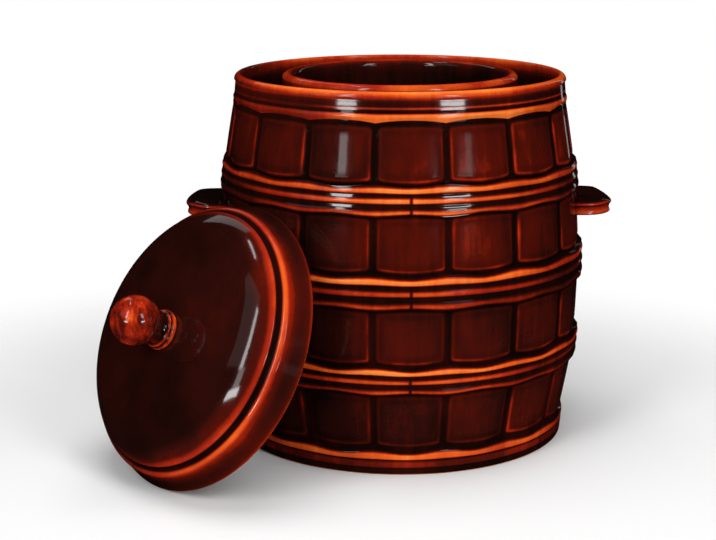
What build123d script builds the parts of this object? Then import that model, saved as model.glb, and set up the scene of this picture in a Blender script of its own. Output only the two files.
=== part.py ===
from build123d import *
import math
import os

# Water seal pickle jar in millimetres. The origin is the centre of the jar's flat foot, +Z is up,
# and the two lug handles lie along X. The lid is off the jar and leans on its front left side.

# Jar, outside
jar_height = 269.1
foot_inset = 11.6
foot_height = 4.7
foot_round = 1.5
stave_radius = 135.6
stave_bow_radius = 644.0
belly_height = 123.4
waist_inset = 11.0
stave_count = 16
groove_width = 5.0
groove_depth = 1.6
valley_depth = 2.6
panel_edge_drop = 0.8
panel_crown = 0.4
panel_head_gap = 1.5
panel_sill_gap = 4.5

# Rings under the lowest row of panels
base_ring_count = 2
base_ring_pitch = 6.0
base_ring_step = 0.6
base_ring_depth = 1.0

# Hoops: each is three beads of one pitch
hoop_bead_count = 3
bead_depth = 1.5
lower_hoop_height = 70.6
lower_hoop_pitch = 6.2
lower_hoop_rise = 1.7
middle_hoop_height = 133.7
middle_hoop_pitch = 7.6
middle_hoop_rise = 2.0
upper_hoop_height = 196.8
upper_hoop_pitch = 6.7
upper_hoop_rise = 1.0

# Rim, water channel and neck
rim_inset = 13.7
rim_wall = 5.5
rim_lip_round = 4.0
rim_ridge_height = 252.2
rim_ridge_width = 5.6
rim_ridge_rise = 0.2
rim_ridge_depth = 1.1
rim_groove_depth = 1.4
rim_bead_height = 258.1
rim_bead_width = 2.4
rim_bead_drop = 0.6
channel_depth = 40.0
channel_corner = 6.0
channel_width = 29.7
neck_wall = 8.5

# Jar, inside
side_wall = 9.0
floor_thickness = 12.0
floor_corner = 14.0
channel_floor = 8.0
shoulder_round = 22.0

# Lug handles: half discs with a flat underside and a domed top that falls to the edge
handle_height = 166.4
handle_half_chord = 33.2
handle_reach = 24.7
handle_root_thickness = 13.0
handle_side_thickness = 10.7
handle_tip_thickness = 5.7
handle_top_bulge = 1.2
handle_edge_round = 1.5

# Lid, with heights above the edge of its skirt
skirt_clearance = 13.9
skirt_edge_round = 2.0
skirt_height = 14.5
skirt_top_inset = 5.7
lid_wall = 7.0
lid_ridge_drop = 0.4
lid_valley_inset = 12.1
lid_valley_height = 21.0
lid_valley_lip = 1.0
dome_inset = 11.8
dome_edge_height = 24.0
shoulder_inset = 28.6
shoulder_height = 35.2
shoulder_bow_radius = 45.0
crown_bow_radius = 300.0
dome_height = 40.8

# Knob on the lid
knob_ball_radius = 17.2
knob_ball_height = 65.9
knob_foot_radius = 14.0
knob_foot_height = 4.0
knob_neck_radius = 11.5
knob_collar_radius = 13.0
knob_collar_height = 2.6

# The leaning lid: where its middle lies round the jar, the way its dome faces, both from +X,
# and how far its axis rises above the ground
lid_bearing_degrees = 218.1
lid_facing_degrees = 218.8
lid_axis_rise_degrees = 26.3
lid_gap = 0.3

# Weight stones, two half moons that pass through the neck
stone_clearance = 2.2
stone_thickness = 28.0
stone_edge_round = 4.0
stone_split = 3.0
stone_gap = 0.2

# Extra length of a tool past the surface that it cuts
overrun = 5.0

# Points on the lid's edge where its gap to the jar is measured, and rounds of closing that gap
edge_samples = 720
closing_rounds = 8

# Radii that follow from the staves: the foot, the waist over it, the rim, the neck inside the
# water channel, the lid that stands in that channel, and the stones that pass the mouth
foot_radius = stave_radius - foot_inset
waist_radius = stave_radius - waist_inset
rim_radius = stave_radius - rim_inset
channel_radius = rim_radius - rim_wall
neck_radius = channel_radius - channel_width
mouth_radius = neck_radius - neck_wall
stone_radius = mouth_radius - stone_clearance
skirt_radius = channel_radius - skirt_clearance
skirt_top_radius = skirt_radius - skirt_top_inset
lid_valley_radius = skirt_radius - lid_valley_inset
dome_radius = skirt_radius - dome_inset
shoulder_radius = skirt_radius - shoulder_inset


def cask_radius(height):
    """Radius of the bowed staves at a height, before their panels and hoops are added."""
    rise = height - belly_height
    return stave_radius - stave_bow_radius + math.sqrt(stave_bow_radius**2 - rise**2)


def bead(low, crest_radius, pitch, depth):
    """Arc of one raised ring, from its lower valley over its crest to its upper valley."""
    foot = crest_radius - depth
    return ThreePointArc((foot, low), (crest_radius, low + pitch / 2), (foot, low + pitch))


def hoop(height, pitch, rise):
    """Lower end, upper end and beads of a hoop with its middle at a height."""
    low = height - hoop_bead_count * pitch / 2
    high = height + hoop_bead_count * pitch / 2
    beads = []
    for index in range(hoop_bead_count):
        start = low + index * pitch
        beads.append(bead(start, cask_radius(start + pitch / 2) + rise, pitch, bead_depth))
    return low, high, beads


# What bounds the rows of panels: the base rings, the hoops and the ridge under the rim
hoops = [
    hoop(lower_hoop_height, lower_hoop_pitch, lower_hoop_rise),
    hoop(middle_hoop_height, middle_hoop_pitch, middle_hoop_rise),
    hoop(upper_hoop_height, upper_hoop_pitch, upper_hoop_rise),
]
base_top = foot_height + base_ring_count * base_ring_pitch
ridge_low = rim_ridge_height - rim_ridge_width / 2
ring_tops = [base_top] + [high for low, high, beads in hoops]
next_bottoms = [low for low, high, beads in hoops] + [ridge_low]


def panel_rows():
    """Lower height, upper height, lower radius and upper radius of each row of panels."""
    rows = []
    for ring_top, next_bottom in zip(ring_tops, next_bottoms):
        low = ring_top + panel_sill_gap
        high = next_bottom - panel_head_gap
        low_radius = cask_radius(low) - panel_edge_drop if rows else waist_radius
        rows.append((low, high, low_radius, cask_radius(high) - panel_edge_drop))
    return rows


def jar_reach(height):
    """Radius that the jar stays within at a height: its panels in a row, and its hoops between."""
    for low, high, low_radius, high_radius in panel_rows():
        if low <= height <= high:
            share = (height - low) / (high - low)
            panel = low_radius + (high_radius - low_radius) * share
            return panel + 4 * panel_crown * share * (1 - share)
    return cask_radius(height) + max(lower_hoop_rise, middle_hoop_rise, upper_hoop_rise)


def panel_arc(low, high, low_radius, high_radius):
    """Pillowed outline of one row of panels."""
    middle_radius = (low_radius + high_radius) / 2 + panel_crown
    return ThreePointArc((low_radius, low), (middle_radius, (low + high) / 2), (high_radius, high))


def valley(low, high):
    """Bottom of the groove between a row of panels and its neighbour."""
    return Line((cask_radius(low) - valley_depth, low), (cask_radius(high) - valley_depth, high))


def joined(pieces):
    """Edges in order, with a straight line across each gap between one and the next."""
    edges = []
    for piece in pieces:
        if edges and (edges[-1] @ 1 - piece @ 0).length > 0:
            edges.append(Line(edges[-1] @ 1, piece @ 0))
        edges.append(piece)
    return edges


def revolved(edges):
    """Solid of revolution about Z from an outline of radius and height that ends on the axis."""
    closing = Line(edges[-1] @ 1, edges[0] @ 0)
    return revolve(Plane.XZ * make_face(edges + [closing]), Axis.Z)


def foot_outline():
    """Flat foot, its rounded edge and the rings above it."""
    edges = [
        Line((0, 0), (foot_radius - foot_round, 0)),
        RadiusArc((foot_radius - foot_round, 0), (foot_radius, foot_round), -foot_round),
    ]
    for index in range(base_ring_count):
        crest = foot_radius + (index + 1) * base_ring_step
        low = foot_height + index * base_ring_pitch
        edges.append(bead(low, crest, base_ring_pitch, base_ring_depth))
    return edges


def rim_outline():
    """Ridge over the panels, groove, fine bead, cove and round lip."""
    ridge_radius = cask_radius(rim_ridge_height) + rim_ridge_rise
    bead_low = rim_bead_height - rim_bead_width / 2
    bead_high = bead_low + rim_bead_width
    groove_radius = rim_radius - rim_groove_depth
    lip_low = jar_height - rim_lip_round
    lip_top = rim_radius - rim_lip_round
    inner_round = rim_wall - rim_lip_round
    return [
        bead(ridge_low, ridge_radius, rim_ridge_width, rim_ridge_depth),
        Line((groove_radius, ridge_low + rim_ridge_width), (groove_radius, bead_low)),
        bead(bead_low, rim_radius - rim_bead_drop, rim_bead_width, rim_bead_drop),
        ThreePointArc((rim_radius - 2 * rim_bead_drop, bead_high),
                      (groove_radius, (bead_high + lip_low) / 2), (rim_radius, lip_low)),
        RadiusArc((rim_radius, lip_low), (lip_top, jar_height), -rim_lip_round),
        RadiusArc((lip_top, jar_height), (channel_radius, jar_height - inner_round), -inner_round),
    ]


def channel_outline():
    """Round-cornered water channel and the round top of the neck inside it."""
    channel_low = jar_height - channel_depth
    neck_top = jar_height - neck_wall / 2
    return [
        RadiusArc((channel_radius, channel_low + channel_corner),
                  (channel_radius - channel_corner, channel_low), channel_corner),
        RadiusArc((neck_radius + channel_corner, channel_low),
                  (neck_radius, channel_low + channel_corner), channel_corner),
        ThreePointArc((neck_radius, neck_top), ((neck_radius + mouth_radius) / 2, jar_height),
                      (mouth_radius, neck_top)),
    ]


def cavity_outline():
    """Ceiling under the channel, round shoulder, bowed side and round-cornered floor."""
    ceiling = jar_height - channel_depth - channel_floor
    side_top = ceiling - shoulder_round
    side_low = floor_thickness + floor_corner
    top_radius = cask_radius(side_top) - valley_depth - side_wall
    middle_radius = cask_radius(belly_height) - valley_depth - side_wall
    low_radius = waist_radius - side_wall
    return [
        Line((mouth_radius, ceiling), (top_radius - shoulder_round, ceiling)),
        RadiusArc((top_radius - shoulder_round, ceiling), (top_radius, side_top), shoulder_round),
        ThreePointArc((top_radius, side_top), (middle_radius, belly_height), (low_radius, side_low)),
        RadiusArc((low_radius, side_low), (low_radius - floor_corner, floor_thickness),
                  floor_corner),
        Line((low_radius - floor_corner, floor_thickness), (0, floor_thickness)),
    ]


def stave_grooves():
    """Round rods that cut the upright grooves between the panels of every row."""
    rod_radius = (groove_width**2 / 4 + groove_depth**2) / (2 * groove_depth)
    offset = rod_radius - groove_depth
    rods = []
    for low, high, low_radius, high_radius in panel_rows():
        run = Vector(high_radius - low_radius, 0, high - low)
        start = Vector(low_radius + panel_edge_drop + offset, 0, low)
        rod = Plane(start, z_dir=run) * Cylinder(
            rod_radius, run.length, align=(Align.CENTER, Align.CENTER, Align.MIN))
        for index in range(stave_count):
            rods.append(Rot(0, 0, (index + 0.5) * 360 / stave_count) * rod)
    return rods


def jar_body():
    """Jar with its foot, hoops, panelled staves, rim, water channel and neck."""
    pieces = foot_outline()
    for index, row in enumerate(panel_rows()):
        pieces.append(valley(ring_tops[index], row[0]))
        pieces.append(panel_arc(*row))
        pieces.append(valley(row[1], next_bottoms[index]))
        if index < len(hoops):
            pieces += hoops[index][2]
    pieces += rim_outline() + channel_outline() + cavity_outline()
    return revolved(joined(pieces)) - stave_grooves()


def handle(jar):
    """Half-disc lug on the +X side, cut to the face of the jar that it is luted to."""
    root = cask_radius(handle_height)
    start = root - side_wall
    tip = root + handle_reach
    plan = make_face([
        Line((start, -handle_half_chord), (root, -handle_half_chord)),
        EllipticalCenterArc((root, 0), handle_reach, handle_half_chord, start_angle=-90, arc_size=180),
        Line((root, handle_half_chord), (start, handle_half_chord)),
        Line((start, handle_half_chord), (start, -handle_half_chord)),
    ])
    root_top = handle_height + handle_root_thickness
    tip_top = handle_height + handle_tip_thickness
    side_top = handle_height + handle_side_thickness
    middle = ((root + tip) / 2, (root_top + tip_top) / 2 + handle_top_bulge)
    side_view = make_face([
        Line((start, handle_height), (tip, handle_height)),
        Line((tip, handle_height), (tip, tip_top)),
        ThreePointArc((tip, tip_top), middle, (root, root_top)),
        Line((root, root_top), (start, root_top)),
        Line((start, root_top), (start, handle_height)),
    ])
    end_view = make_face([
        Line((-handle_half_chord, handle_height), (handle_half_chord, handle_height)),
        Line((handle_half_chord, handle_height), (handle_half_chord, side_top)),
        ThreePointArc((handle_half_chord, side_top), (0, root_top), (-handle_half_chord, side_top)),
        Line((-handle_half_chord, side_top), (-handle_half_chord, handle_height)),
    ])
    lug = extrude(Pos(0, 0, handle_height) * plan, handle_root_thickness)
    lug &= extrude(Plane.XZ * side_view, handle_half_chord, both=True)
    lug &= extrude(Plane.YZ * end_view, tip + overrun)
    rim_edges = lug.edges().filter_by(lambda edge: edge.center().X > root)
    return fillet(rim_edges, handle_edge_round) - jar


def dome_middle(start, end, bow_radius):
    """Crest of a convex arc between two points of the lid's outline, for a given radius."""
    run = Vector(end[0] - start[0], end[1] - start[1])
    sagitta = bow_radius - math.sqrt(bow_radius**2 - run.length**2 / 4)
    outward = Vector(run.Y, -run.X).normalized() * sagitta
    return ((start[0] + end[0]) / 2 + outward.X, (start[1] + end[1]) / 2 + outward.Y)


def lid_shell():
    """Domed lid on its own axis, with the edge of its skirt on the ground plane."""
    edge = (skirt_radius, skirt_edge_round)
    skirt_top = (skirt_top_radius, skirt_height)
    valley_low = (lid_valley_radius + lid_valley_lip, lid_valley_height - lid_valley_lip)
    ridge_crest = (skirt_top_radius - lid_ridge_drop, (skirt_height + valley_low[1]) / 2)
    valley_bottom = (lid_valley_radius, lid_valley_height)
    dome_edge = (dome_radius, dome_edge_height)
    shoulder = (shoulder_radius, shoulder_height)
    seat = (knob_foot_radius, dome_height)
    crown_middle = dome_middle(shoulder, seat, crown_bow_radius)
    outer = [
        RadiusArc((skirt_radius - skirt_edge_round, 0), edge, -skirt_edge_round),
        Line(edge, skirt_top),
        ThreePointArc(skirt_top, ridge_crest, valley_low),
        Line(valley_low, valley_bottom),
        Line(valley_bottom, dome_edge),
        ThreePointArc(dome_edge, dome_middle(dome_edge, shoulder, shoulder_bow_radius), shoulder),
        ThreePointArc(shoulder, crown_middle, seat),
        Line(seat, (0, dome_height)),
    ]
    inner_edge = (skirt_radius - lid_wall, skirt_edge_round)
    inner_corner = (lid_valley_radius - lid_wall, lid_valley_height)
    inner_shoulder = (shoulder_radius - lid_wall / 2, shoulder_height - lid_wall)
    inner_seat = (knob_foot_radius, dome_height - lid_wall)
    inner = [
        Line((0, dome_height - lid_wall), inner_seat),
        ThreePointArc(inner_seat, (crown_middle[0], crown_middle[1] - lid_wall), inner_shoulder),
        ThreePointArc(inner_shoulder,
                      dome_middle(inner_corner, inner_shoulder, shoulder_bow_radius), inner_corner),
        Line(inner_corner, inner_edge),
        RadiusArc(inner_edge, (inner_edge[0] + skirt_edge_round, 0), -skirt_edge_round),
    ]
    return revolved(joined(outer + inner))


def lid_knob():
    """Ball knob on its flared foot and collared neck, standing on the lid's flat seat."""
    foot_top = dome_height + knob_foot_height
    collar_top = foot_top + knob_collar_height
    ball_low = knob_ball_height - math.sqrt(knob_ball_radius**2 - knob_neck_radius**2)
    collar_drop = knob_collar_radius - knob_neck_radius
    return revolved(joined([
        Line((0, dome_height), (knob_foot_radius, dome_height)),
        bead(dome_height, knob_foot_radius, knob_foot_height, collar_drop / 2),
        bead(foot_top, knob_collar_radius, knob_collar_height, collar_drop),
        Line((knob_neck_radius, collar_top), (knob_neck_radius, ball_low)),
        ThreePointArc((knob_neck_radius, ball_low), (knob_ball_radius, knob_ball_height),
                      (0, knob_ball_height + knob_ball_radius)),
    ]))


def lean_gap(distance, rise, height):
    """Least gap between the leaning lid's edge and the jar's side, for the lid's distance."""
    ring = skirt_radius - skirt_edge_round
    bearing = math.radians(lid_bearing_degrees)
    facing = math.radians(lid_facing_degrees)
    gaps = []
    for sample in range(edge_samples):
        turn = 2 * math.pi * sample / edge_samples
        back = skirt_edge_round * math.cos(rise) - ring * math.cos(turn) * math.sin(rise)
        side = ring * math.sin(turn)
        x = distance * math.cos(bearing) + back * math.cos(facing) - side * math.sin(facing)
        y = distance * math.sin(bearing) + back * math.sin(facing) + side * math.cos(facing)
        z = height + skirt_edge_round * math.sin(rise) + ring * math.cos(turn) * math.cos(rise)
        gaps.append(math.hypot(x, y) - skirt_edge_round - jar_reach(z))
    return min(gaps)


def lid_place():
    """Pose of the leaning lid: its edge stands on the ground and all but touches the jar."""
    rise = math.radians(lid_axis_rise_degrees)
    ring = skirt_radius - skirt_edge_round
    height = ring * math.cos(rise) + skirt_edge_round * (1 - math.sin(rise))
    distance = stave_radius + ring * math.sin(rise)
    for closing_round in range(closing_rounds):
        distance += lid_gap - lean_gap(distance, rise, height)
    turned = Rot(0, 0, lid_facing_degrees) * Rot(0, 90 - lid_axis_rise_degrees, 0)
    return Rot(0, 0, lid_bearing_degrees) * Pos(distance, 0, height) * Rot(
        0, 0, -lid_bearing_degrees) * turned


def weight_stone():
    """Half-moon stone on the +X side, just clear of the jar's floor."""
    disc = Cylinder(stone_radius, stone_thickness, align=(Align.CENTER, Align.CENTER, Align.MIN))
    half = Pos(stone_split / 2, 0, 0) * Box(
        stone_radius, 2 * stone_radius, stone_thickness,
        align=(Align.MIN, Align.CENTER, Align.MIN))
    stone = disc & half
    stone = fillet(stone.edges(), stone_edge_round)
    return Pos(0, 0, floor_thickness + stone_gap) * stone


def write(name, shape):
    """Write one piece under its own name."""
    export_step(shape, "parts/" + name + ".step")


def main():
    os.makedirs("parts", exist_ok=True)
    jar = jar_body()
    right_handle = handle(jar)
    right_stone = weight_stone()
    leaning = lid_place()
    half_turn = Rot(0, 0, 180)
    write("jar_body", jar)
    write("handle_right", right_handle)
    write("handle_left", half_turn * right_handle)
    write("lid_shell", leaning * lid_shell())
    write("lid_knob", leaning * lid_knob())
    write("weight_stone_right", right_stone)
    write("weight_stone_left", half_turn * right_stone)


main()
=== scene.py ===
import math
from collections import namedtuple

import bpy
import numpy as np
from mathutils import Matrix, Vector


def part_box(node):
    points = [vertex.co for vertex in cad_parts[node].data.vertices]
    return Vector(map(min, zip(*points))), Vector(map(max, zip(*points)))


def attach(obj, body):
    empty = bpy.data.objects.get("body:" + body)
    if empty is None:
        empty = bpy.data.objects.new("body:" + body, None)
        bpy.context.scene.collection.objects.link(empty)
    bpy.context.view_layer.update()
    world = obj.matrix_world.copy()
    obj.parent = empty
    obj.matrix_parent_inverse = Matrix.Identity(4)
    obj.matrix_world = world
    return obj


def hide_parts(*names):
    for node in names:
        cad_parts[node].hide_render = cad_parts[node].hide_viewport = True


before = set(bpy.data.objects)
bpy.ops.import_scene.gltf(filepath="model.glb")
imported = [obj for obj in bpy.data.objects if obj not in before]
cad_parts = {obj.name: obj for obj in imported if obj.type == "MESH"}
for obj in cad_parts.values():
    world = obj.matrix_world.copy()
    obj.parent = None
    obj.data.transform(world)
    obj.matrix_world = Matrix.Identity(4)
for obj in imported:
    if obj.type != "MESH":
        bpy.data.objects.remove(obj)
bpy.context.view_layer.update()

bl_info = {
    "name": "Barrel Pickle Crock",
    "version": (1, 0, 0),
    "blender": (4, 5, 0),
    "location": "View3D > Sidebar > Crock",
    "description": "Builds a brown-glazed water seal crock with its lid, knob, lugs and stones",
    "category": "Object",
}

# Every length is written in millimetres, as in the part's source, and turned into metres by MM
MM = 0.001

# Thickness of the glaze at a point: 0 is thin amber, POOLED a black pool, BARE no glaze
POOLED = 0.97
BARE = -1.0

# Jar, outside
JAR_HEIGHT = 269.1
STAVE_RADIUS = 135.6
STAVE_BOW_RADIUS = 644.0
STAVE_COUNT = 16
HALF_STAVE = math.pi * STAVE_RADIUS / STAVE_COUNT
BELLY_HEIGHT = 123.4
FOOT_RADIUS = 124.0
FOOT_HEIGHT = 4.7
FOOT_ROUND = 1.5
WAIST_RADIUS = 124.6
BASE_RING_PITCH = 6.0
BASE_RING_STEP = 0.6
BASE_RING_DEPTH = 0.35
BASE_RING_SWELL = 2.2

# Rows of panels from the lowest: gap over the ring below, gap under the ring above, glaze
PanelRow = namedtuple("PanelRow", "sill_gap head_gap glaze")
# The glaze is thicker on the lower rows, which paints them darker: painted shade, as the light
# falls from above
PANEL_ROWS = (PanelRow(4.5, 1.5, 0.76), PanelRow(3.1, 1.5, 0.70), PanelRow(2.7, 1.5, 0.64),
              PanelRow(1.8, 3.2, 0.60))
# How far the panels' faces and the ground under a sill lie below the staves, and the ground
# over a head below the face
PANEL_INSET = 0.8
VALLEY_SHOWN = 1.7
HEAD_STEP = 0.12

# Thin glaze on a ring: how thin, how far it reaches over and under the crest in half heights,
# and how much thicker and darker it is painted towards the jar's sides, a painted shade there
Band = namedtuple("Band", "thin up down side")
BASE_BANDS = (Band(0.50, 0.7, 0.7, 0.2), Band(0.10, 0.55, 0.75, 0.3))
BEAD_BANDS = (Band(0.14, 0.16, 0.62, 0.70), Band(0.12, 0.48, 0.46, 0.80),
              Band(0.06, 0.61, 0.43, 0.45))

# Hoops from the lowest: height of the middle, pitch of the beads, rise over the staves, depth
# of the lines between the beads, swell of the top bead at the grooves, glaze in the lines, how
# dull the skin is, and how much thicker the glaze is on all beads but the top one
Hoop = namedtuple("Hoop", "height pitch rise depth swell line_glaze matt cover")
HOOPS = (Hoop(70.6, 6.2, 1.7, 0.7, 2.5, POOLED, 0.9, 0.15),
         Hoop(133.7, 7.6, 2.0, 0.7, 2.1, POOLED, 0.9, 0.15),
         Hoop(196.8, 6.7, 1.0, 0.5, 1.7, 0.92, 0.0, 0.0))
HOOP_BEADS = len(BEAD_BANDS)
SEAM_WIDTH = 0.75

# Rim, water channel and neck
RIM_RADIUS = 121.9
RIM_WALL = 5.5
RIM_LIP_ROUND = 4.0
RIM_RIDGE_HEIGHT = 252.2
RIM_RIDGE_WIDTH = 5.6
RIM_RIDGE_RISE = 0.2
RIM_RIDGE_DEPTH = 0.9
RIM_BEAD_HEIGHT = 258.1
RIM_BEAD_WIDTH = 2.4
CHANNEL_DEPTH = 40.0
CHANNEL_CORNER = 6.0
NECK_RADIUS = 86.7
NECK_WALL = 8.5

# Jar, inside
SIDE_WALL = 9.0
VALLEY_DEPTH = 2.6
FLOOR_THICKNESS = 12.0
FLOOR_CORNER = 14.0
CHANNEL_FLOOR = 8.0
SHOULDER_ROUND = 22.0

# Lid, with heights above the edge of its skirt
SKIRT_RADIUS = 102.5
SKIRT_EDGE_ROUND = 2.0
SKIRT_HEIGHT = 14.5
SKIRT_TOP_RADIUS = 96.8
LID_WALL = 7.0
LID_RIDGE_DROP = 0.4
LID_VALLEY_RADIUS = 90.4
LID_VALLEY_HEIGHT = 21.0
LID_VALLEY_LIP = 1.0
DOME_RADIUS = 90.7
DOME_EDGE_HEIGHT = 24.0
LID_SHOULDER_RADIUS = 73.9
LID_SHOULDER_HEIGHT = 35.2
SHOULDER_BOW_RADIUS = 45.0
CROWN_BOW_RADIUS = 300.0
DOME_HEIGHT = 40.8
LID_FACING = math.radians(218.8)
LID_AXIS_RISE = math.radians(26.3)

# Knob on the lid
KNOB_BALL_RADIUS = 17.2
KNOB_BALL_HEIGHT = 65.9
KNOB_FOOT_RADIUS = 14.0
KNOB_FOOT_HEIGHT = 4.0
KNOB_NECK_RADIUS = 11.5
KNOB_COLLAR_RADIUS = 13.0
KNOB_COLLAR_HEIGHT = 2.6

# Lug handles
HANDLE_HEIGHT = 166.4
HANDLE_HALF_CHORD = 33.2
HANDLE_REACH = 24.7
HANDLE_SUNK = 6.0
HANDLE_ROOT_THICKNESS = 13.0
HANDLE_SIDE_THICKNESS = 10.7
HANDLE_TIP_THICKNESS = 9.4
# Exponent of the plan's curve, which below 1 is fuller than an ellipse
HANDLE_FULLNESS = 0.84
# Edge of a lug 8.2 mm thick from its top down: inset, drop, glaze and how much more at the tip
HANDLE_EDGE_THICKNESS = 8.2
HANDLE_EDGE = ((5.2, 0.0, 0.93, 0), (3.2, 0.3, 0.92, 0), (1.5, 0.9, 0.84, 0),
               (0.4, 1.6, 0.40, 0), (0.0, 2.2, 0.26, 0.45), (0.3, 3.0, 0.70, 0.45),
               (1.3, 4.0, 0.42, 0.45), (1.8, 5.6, 0.27, 0), (1.6, 7.0, 0.22, 0))

# Weight stones
STONE_RADIUS = 76.0
STONE_THICKNESS = 28.0
STONE_EDGE_ROUND = 4.0
STONE_SPLIT = 3.0
STONE_GAP = 0.2

# Camera, fitted to the rims, hoops and foot: its place in the jar's frame, its turn to the
# left, its tilt down, and its focal length for a 36 mm wide sensor
CAMERA_DISTANCE = 1250.0
CAMERA_HEIGHT = 413.85
CAMERA_BEARING = math.radians(3.6)
CAMERA_TURN = math.radians(1.4125)
CAMERA_TILT = math.radians(13.288)
SENSOR_WIDTH = 36.0
FOCAL_LENGTH = 85.258

# Stage, in metres
LAMP_AIM_HEIGHT = 0.13
CARD_DISTANCE = 1.6
FLOOR_SHIFT = 0.05
WHITE = (1.0, 1.0, 1.0, 1.0)


# ---------------------------------------------------------------- curves and meshes


def smooth(low, high, value):
    """Smooth step from 0 at low to 1 at high."""
    share = np.clip((value - low) / (high - low), 0.0, 1.0)
    return share * share * (3.0 - 2.0 * share)


def mix(a, b, share):
    """Straight mix of two values."""
    return a + (b - a) * share


def between(start, end, share):
    """Point on the straight line from one point to another."""
    return mix(start[0], end[0], share), mix(start[1], end[1], share)


def parts(count):
    """Shares of a way at the end of each of its equal steps."""
    return [step / count for step in range(1, count + 1)]


def arc(centre, radius, start, end, samples):
    """Points (radius, height) of a circular arc between two angles in degrees."""
    points = []
    for step in range(samples + 1):
        turn = math.radians(start + (end - start) * step / samples)
        points.append((centre[0] + radius * math.cos(turn), centre[1] + radius * math.sin(turn)))
    return points


def three_point_arc(start, middle, end, samples):
    """Points of the circular arc through three points, with both ends."""
    (ax, ay), (bx, by), (cx, cy) = start, middle, end
    d = 2 * (ax * (by - cy) + bx * (cy - ay) + cx * (ay - by))
    a2, b2, c2 = ax * ax + ay * ay, bx * bx + by * by, cx * cx + cy * cy
    ux = (a2 * (by - cy) + b2 * (cy - ay) + c2 * (ay - by)) / d
    uy = (a2 * (cx - bx) + b2 * (ax - cx) + c2 * (bx - ax)) / d
    first, via, last = (math.atan2(y - uy, x - ux) for x, y in (start, middle, end))
    turn = (last - first) % (2 * math.pi)
    if (via - first) % (2 * math.pi) > turn:
        turn -= 2 * math.pi
    return arc((ux, uy), math.hypot(ax - ux, ay - uy), math.degrees(first),
               math.degrees(first + turn), samples)


def bow_middle(start, end, bow_radius):
    """Crest of a convex arc between two points of the lid's outline."""
    run = (end[0] - start[0], end[1] - start[1])
    length = math.hypot(*run)
    sagitta = bow_radius - math.sqrt(bow_radius**2 - length**2 / 4)
    return ((start[0] + end[0]) / 2 + run[1] / length * sagitta,
            (start[1] + end[1]) / 2 - run[0] / length * sagitta)


def rounded_least(a, b, corner):
    """Lesser of two distances to an edge, rounded where both edges are near."""
    near = (a < corner) & (b < corner)
    rounded = corner - np.sqrt(np.clip(corner - a, 0, None)**2 + np.clip(corner - b, 0, None)**2)
    return np.where(near, rounded, np.minimum(a, b))


def circle(count, radius, height):
    """Points of a level circle round the jar's axis."""
    turns = [2 * math.pi * step / count for step in range(count)]
    return [(radius * math.cos(turn), radius * math.sin(turn), height) for turn in turns]


def side_faces(rings, count):
    """Faces between each closed ring of points and the next."""
    faces = []
    for base in range(0, (rings - 1) * count, count):
        for j in range(count):
            k = (j + 1) % count
            faces.append((base + j, base + k, base + count + k, base + count + j))
    return faces


def skin(rings, first_pole, last_pole):
    """Points and faces of a closed form from rings of points and a pole at either end."""
    count = len(rings[0])
    last = (len(rings) - 1) * count
    faces = []
    for j in range(count):
        k = (j + 1) % count
        faces += [(last + count, k, j), (last + j, last + k, last + count + 1)]
    points = np.concatenate([*rings, [first_pole, last_pole]])
    return points, faces + side_faces(len(rings), count)


def lathe(angles, radii, heights):
    """Points and faces of a form round the axis, which starts and ends on it.

    radii and heights hold one row per ring and one column per angle."""
    rings = np.stack([radii * np.cos(angles), radii * np.sin(angles), heights], axis=2)
    return skin(rings, [0.0, 0.0, heights[0].mean()], [0.0, 0.0, heights[-1].mean()])


def make_mesh(name, points, faces, glaze, body, node, material, satin=0.0):
    """Piece from points in metres, with the thickness of its glaze as an attribute of each.

    The deepest pools and the points in satin have a duller skin."""
    mesh = bpy.data.meshes.new(name)
    mesh.from_pydata(points.tolist(), [], faces)
    mesh.validate()
    dull = np.maximum(np.clip((glaze - 0.93) / 0.03, 0, 1), satin)
    for attribute, values in (("glaze", glaze), ("dull", dull)):
        layer = mesh.attributes.new(attribute, "FLOAT", "POINT")
        layer.data.foreach_set("value", values.astype(np.float32))
    mesh.polygons.foreach_set("use_smooth", [True] * len(mesh.polygons))
    mesh.update()
    mesh.materials.append(material)
    piece = bpy.data.objects.new(name, mesh)
    bpy.context.scene.collection.objects.link(piece)
    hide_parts(node)
    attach(piece, body)


# ---------------------------------------------------------------- sizes and colours


class CrockShape(bpy.types.PropertyGroup):
    """Relief of the moulded cask that a user would change."""

    groove_width: bpy.props.FloatProperty(
        name="Groove width", description="Width of the upright groove between two panels",
        default=0.0042, unit="LENGTH")
    groove_depth: bpy.props.FloatProperty(
        name="Groove depth", description="Depth of the upright groove below the panels' edges",
        default=0.0008, unit="LENGTH")
    panel_pillow: bpy.props.FloatProperty(
        name="Panel pillow", description="How far a panel's face falls away at its sides",
        default=0.0013, unit="LENGTH")
    panel_sag: bpy.props.FloatProperty(
        name="Panel sag", description="How far a panel's lower edge bellies down in the middle",
        default=0.0022, unit="LENGTH")
    panel_arch: bpy.props.FloatProperty(
        name="Panel arch", description="How far a panel's upper edge arches up in the middle",
        default=0.0010, unit="LENGTH")
    panel_soft: bpy.props.FloatProperty(
        name="Panel softness", description="Width of the rounded shoulder of a panel's edge",
        default=0.0042, unit="LENGTH")
    panel_corner: bpy.props.FloatProperty(
        name="Panel corner", description="Radius of a panel's corners",
        default=0.0026, unit="LENGTH")
    ring_wave: bpy.props.FloatProperty(
        name="Ring wave", description="How far the lower rings dip towards the grooves",
        default=0.0022, unit="LENGTH")
    seam_depth: bpy.props.FloatProperty(
        name="Seam depth", description="Depth of the mould seam's nick across the hoops",
        default=0.0002, unit="LENGTH")
    edge_thinning: bpy.props.FloatProperty(
        name="Edge thinning", description="How much the glaze thins along a panel's edges",
        default=0.21, min=0.0, max=1.0)


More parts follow.
